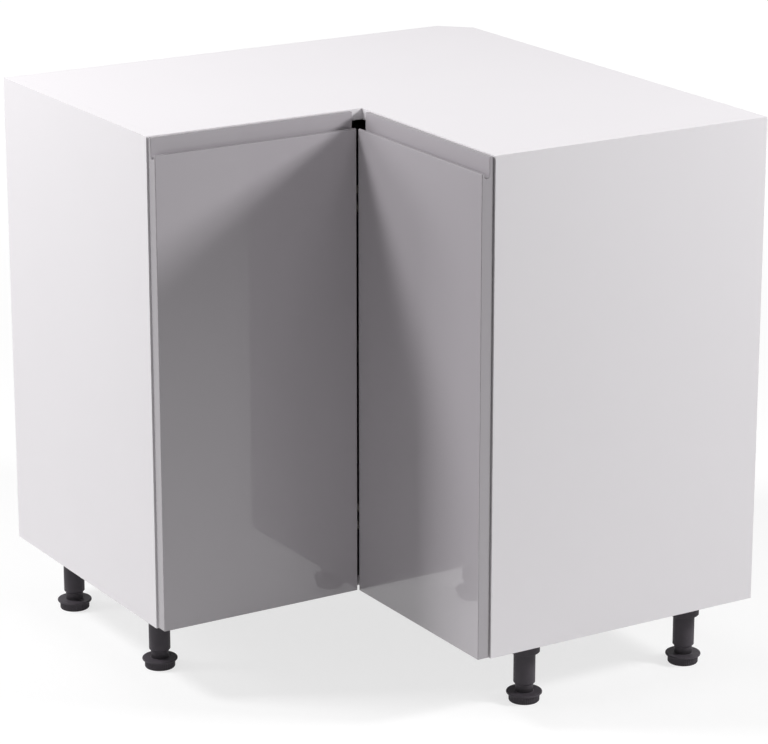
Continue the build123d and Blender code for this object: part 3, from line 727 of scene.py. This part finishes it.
def screw_shape(head, thick, shank, length, pitch=SCREW_PITCH, columns=SCREW_COLUMNS):
    """A screw from its tip, at z = -length, to its domed head with a cross recess. The thread's radius is
    shank - cut * |saw(z / pitch - angle / turn)|, and the dome falls with the radius to the power 2.2."""
    shoulder = head * HEAD_SHOULDER
    tip = np.linspace(0, 1, TIP_ROWS)[:, None] ** 0.8
    cone = np.hstack([SCREW_TIP + tip * (shank - SCREW_TIP), -length + tip * TIP_LENGTH * shank])
    shaft_z = np.arange(-length + TIP_LENGTH * shank, -SCREW_NECK, pitch / 5)[1:, None]
    shaft = np.hstack([np.full_like(shaft_z, shank), shaft_z])
    edge = [(shank, 0.0), (head, 0.0), (head, HEAD_WALL * thick), (shoulder, (1 - HEAD_DOME) * thick)]
    rim = rounded(edge, (0.1 * MM, 0.2 * thick), 3)
    share = np.linspace(1, 0, DOME_ROWS)[1:, None]
    dome = np.hstack([shoulder * share, thick * (1 - HEAD_DOME * share ** 2.2)])
    profile = np.vstack([cone, shaft, rim, dome])

    def shift(radius, height, angle):
        turns = height / pitch - angle / (2 * math.pi)
        cut = np.abs((turns % 1.0) * 2 - 1) * THREAD_CUT * shank
        threaded = (height < -SCREW_NECK) * np.clip(radius / shank, 0, 1)
        x, y = radius * np.cos(angle), radius * np.sin(angle)
        sunk = cross_recess(x, y, RECESS_ARM * head, RECESS_WIDTH * head, RECESS_DEPTH * thick)
        on_dome = height > RECESS_FROM * thick
        return radius - threaded * cut, height - on_dome * sunk

    return solid(turned(profile, columns, shift))


def cam_shape(height):
    """A cast cam with its face at z = 0: a raised border, a dished middle and a cross recess.
    The dish's depth is CAM_DISH * smooth((edge - radius) / 1 mm), and its edge is the border's inner one."""
    share = np.linspace(1, 0, CAM_ROWS)[1:, None]
    face = np.hstack([(CAM_RADIUS - CAM_RIM) * share, np.zeros_like(share)])
    wall = [(0.0, -height), (CAM_RADIUS, -height), (CAM_RADIUS, 0.0), (CAM_RADIUS - CAM_RIM, 0.0)]
    profile = np.vstack([rounded(wall, (0.5 * MM, 0.4 * MM))[1:], face])

    def shift(radius, height, angle):
        x, y = radius * np.cos(angle), radius * np.sin(angle)
        dish = CAM_DISH * smooth(np.clip((CAM_RADIUS - CAM_BORDER - radius) / MM, 0, 1))
        sunk = dish + cross_recess(x, y, CAM_RECESS_ARM, CAM_RECESS_WIDTH, CAM_RECESS_DEPTH)
        return radius, height - (height > -NEAR) * sunk

    return solid(turned(profile, CAM_COLUMNS, shift))


def hinge_heights():
    """The heights of the lower and the upper hinge."""
    return [sum(corner.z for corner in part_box(level + "_hinge_cup")) / 2 for level in LEVELS]


def evenly(low, high, count):
    """Values from low to high at equal steps."""
    return [low + (high - low) * i / (count - 1) for i in range(count)]


def back_screws(steel):
    """Countersunk screws, flush with the backs, at the heights of the bottom and the top panel."""
    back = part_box("back_panel_screws")[1].y
    head = (SCREW_HEAD, SCREW_HEAD_THICKNESS)
    thread = (BACK_SCREW_PITCH, BACK_SCREW_COLUMNS)
    shape = screw_shape(*head, SCREW_SHANK, BACK_SCREW_LENGTH, *thread)
    levels = [sum(corner.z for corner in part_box(panel)) / 2 for panel in ("bottom_panel", "top_panel")]
    seat = back - SCREW_HEAD_THICKNESS
    low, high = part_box("left_back_panel")
    along = evenly(low.x + BACK_SCREW_INSET, high.x - BACK_SCREW_INSET, BACK_SCREW_COUNT)
    middle = (high.x + back) / 2 - SCREW_HEAD_THICKNESS * math.sqrt(0.5)
    shapes = []
    for z in levels:
        shapes += [placed(shape, (x, seat, z), (0, 1, 0)) for x in along]
        shapes += [placed(shape, (seat, x, z), (1, 0, 0)) for x in along]
        shapes.append(placed(shape, (middle, middle, z), (1, 1, 0)))
    piece("back_screw_set", shapes, steel, "carcase", "screw_steel", "back_panel_screws")


def leg_bolt_heads(steel):
    """The bolts that hold the legs, with their domed heads on the bottom panel."""
    low, high = (corner.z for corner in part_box("leg_bolts"))
    seat = high - BOLT_HEAD_THICKNESS
    shape = screw_shape(BOLT_HEAD, BOLT_HEAD_THICKNESS, BOLT_SHANK, seat - low, BOLT_PITCH)
    places = [leg_centre(leg)[:2] + (seat,) for leg in LEGS]
    shapes = [placed(shape, place) for place in places]
    piece("leg_bolt_set", shapes, steel, "carcase", "screw_steel", "leg_bolts")


def cams(zinc):
    """The cams in the undersides of the bottom and the top panel, along both outer sides."""
    shape = cam_shape(CAM_HEIGHT)
    side_low, side_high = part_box("left_side_panel")
    low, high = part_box("cam_locks")
    near, far = low.x + CAM_RADIUS, high.x - CAM_RADIUS
    first = side_low.y - EDGING + (side_high.y - far)
    shapes = []
    for panel in ("bottom_panel", "top_panel"):
        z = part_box(panel)[0].z
        for along in evenly(first, far, CAM_COUNT):
            for place in ((near, along, z), (along, near, z)):
                shapes.append(placed(shape, place, (0, 0, -1)))
    piece("cam_set", shapes, zinc, "carcase", "zinc", "cam_locks")


def hinge_screws(steel):
    """The screws of the hinges' plates and cups, and those of the leaves between the doors."""
    shape = screw_shape(SCREW_HEAD, SCREW_HEAD_THICKNESS, SCREW_SHANK, SCREW_LENGTH)

    def screw_set(name, places, out, body, node):
        """Screws whose heads sit at the places and face along out."""
        piece(name, [placed(shape, place, out) for place in places], steel, body, "screw_steel", node)

    def above_and_below(node, x, y):
        """Places above and below each hinge, as far off as the node's own lowest screw."""
        spread = hinge_heights()[0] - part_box(node)[0].z - SCREW_HEAD
        return [(x, y, z + way * spread) for z in hinge_heights() for way in (-1, 1)]

    low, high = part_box("hinge_plate_screws")
    places = above_and_below("hinge_plate_screws", (low.x + high.x) / 2, high.y - SCREW_HEAD_THICKNESS)
    screw_set("plate_screw_set", places, (0, 1, 0), "carcase", "hinge_plate_screws")
    low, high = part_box("hinge_cup_screws")
    places = above_and_below("hinge_cup_screws", high.x - SCREW_HEAD_THICKNESS, (low.y + high.y) / 2)
    screw_set("cup_screw_set", places, (1, 0, 0), "right_door", "hinge_cup_screws")
    low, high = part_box("fold_screws_left")
    y = high.y - SCREW_HEAD_THICKNESS
    places = [(x, y, z) for z in hinge_heights() for x in (low.x + SCREW_HEAD, high.x - SCREW_HEAD)]
    screw_set("leaf_screw_set_left", places, (0, 1, 0), "left_door", "fold_screws_left")
    places = [(y, x, z) for x, y, z in places]
    screw_set("leaf_screw_set_right", places, (1, 0, 0), "right_door", "fold_screws_right")


# Stage

def make_floor():
    """A pale floor disc. Where it is seen, directly or in gloss, it is lifted to white and keeps its shadows.
    In gloss the lift is dimmed with distance. The light that it throws back falls off with distance too."""
    mesh = bpy.data.meshes.new("floor")
    angle = np.linspace(0, 2 * math.pi, FLOOR_SIDES, endpoint=False)
    level = np.full(FLOOR_SIDES, FLOOR_LEVEL)
    rim = np.stack([FLOOR_RADIUS * np.cos(angle), FLOOR_RADIUS * np.sin(angle), level], 1)
    mesh.from_pydata(rim.tolist(), [], [list(range(FLOOR_SIDES))])
    floor = bpy.data.objects.new("floor", mesh)
    bpy.context.scene.collection.objects.link(floor)
    paint = Paint("floor", 0.9, Specular_IOR_Level=0.1)
    x, y, _ = paint.axes()
    distance = (x * x + y * y) ** 0.5
    far = distance.step(*FLOOR_FADE)
    seen = paint.seen()
    pale = paint.mix(far, grey(FLOOR_SEEN), grey(0.0))
    bounce = paint.mix(distance.step(*BOUNCE_FADE), grey(BOUNCE_NEAR), grey(BOUNCE_FAR))
    paint.colour(paint.mix(seen, bounce, pale))
    lift = far * (1 - FLOOR_LIFT) + FLOOR_LIFT
    dimmed = 1 - paint.ray("Glossy") * distance.step(*GLOSS_FADE) * GLOSS_DIM
    paint.set("Emission Color", paint.mix(dimmed, grey(0.0), grey(1.0)))
    paint.feed(paint.shader.inputs["Emission Strength"], seen * lift)
    mesh.materials.append(paint.material)


def make_world():
    """White where it is seen. As light it is brighter at the horizon than overhead."""
    world = bpy.data.worlds.new("studio")
    world.use_nodes = True
    bpy.context.scene.world = world
    sky = Nodes(world.node_tree)
    background = sky.tree.nodes["Background"]
    way = sky.node("ShaderNodeTexCoord", {}, {}, "Generated")
    height = sky.node("ShaderNodeSeparateXYZ", {}, {0: way}, 2)
    glow = height.size().step(0.0, 1.0) * (SKY_TOP - SKY_SIDE) + SKY_SIDE
    seen = sky.seen()
    sky.feed(background.inputs["Color"], (1.0, 1.0, 1.0, 1.0))
    sky.feed(background.inputs["Strength"], glow * (1 - seen) + seen)


def make_lamp(name, way, size, power):
    """A square soft lamp that looks at the middle of the cabinet. It is left out of gloss, where it would
    make the white top clip in low views from behind."""
    light = bpy.data.lights.new(name, "AREA")
    light.shape = "SQUARE"
    light.size = size
    light.energy = power
    lamp = bpy.data.objects.new(name, light)
    lamp.visible_glossy = False
    direction = Vector(way).normalized()
    lamp.location = Vector(LAMP_TARGET) + direction * LAMP_DISTANCE
    lamp.rotation_euler = (-direction).to_track_quat("-Z", "Y").to_euler()
    bpy.context.scene.collection.objects.link(lamp)


def make_camera():
    """The photograph's view: from the front left of the cabinet, looking down."""
    data = bpy.data.cameras.new("camera")
    data.lens = CAMERA_LENS
    data.sensor_width = CAMERA_SENSOR
    data.clip_start, data.clip_end = 0.1, 100.0
    camera = bpy.data.objects.new("camera", data)
    camera.location = CAMERA_PLACE
    camera.rotation_euler = (math.radians(90 - CAMERA_PITCH), 0.0, math.radians(-CAMERA_YAW))
    bpy.context.scene.collection.objects.link(camera)
    bpy.context.scene.camera = camera


# The cabinet

def dress(names, material):
    """Gives a material to nodes that keep their own shape."""
    for name in names:
        nodes[name].data.materials.clear()
        nodes[name].data.materials.append(material)


def dress_cabinet():
    """Every finish, and every piece that stands for a node."""
    for side in ("left_side_panel", "right_side_panel"):
        dress([side], faced_board(side + "_board", side, raw_in_holes))
    for flat in ("top_panel", "bottom_panel", "shelf"):
        dress([flat], faced_board(flat + "_board", flat, raw_at_cuts))
    for back in ("left_back_panel", "right_back_panel"):
        dress([back], faced_board(back + "_board", back, raw_in_holes))
    dress(["corner_back_panel"], faced_board("corner_back_board", "corner_back_panel", raw_in_corner))
    dress(["carcase_edge_bands", "shelf_edge_bands"], edging())
    dress(["left_door"], door_gloss("left_door_gloss", "left_door", 1))
    dress(["right_door"], door_gloss("right_door_gloss", "right_door", 0))
    nickel = plated("nickel_steel", NICKEL_LIGHT, NICKEL_DARK, 0.26, 0.6 * MM)
    steel = plated("screw_steel", STEEL_LIGHT, STEEL_DARK, 0.30, 0.4 * MM)
    zinc = plated("zinc", ZINC_LIGHT, ZINC_DARK, 0.42, 0.8 * MM)
    hinge_parts = [level + part for level in LEVELS
                   for part in ("_hinge_plate", "_hinge_arm", "_hinge_link", "_hinge_cup",
                                "_fold_leaf_left", "_fold_leaf_right")]
    dress(hinge_parts + ["hinge_arm_pins", "hinge_cup_pins", "fold_hinge_pins", "shelf_pins"], nickel)
    dress(["cam_dowels"], steel)
    dress(["wood_dowels"], beech())
    dress(["left_door_bumpers", "right_door_bumpers"], soft_pad())
    hinge_screws(steel)
    back_screws(steel)
    leg_bolt_heads(steel)
    cams(zinc)
    make_legs()


dress_cabinet()
make_floor()
make_world()
for name, (way, size, power) in LAMPS.items():
    make_lamp(name, way, size, power)
make_camera()
bpy.context.scene.view_settings.view_transform = "Standard"
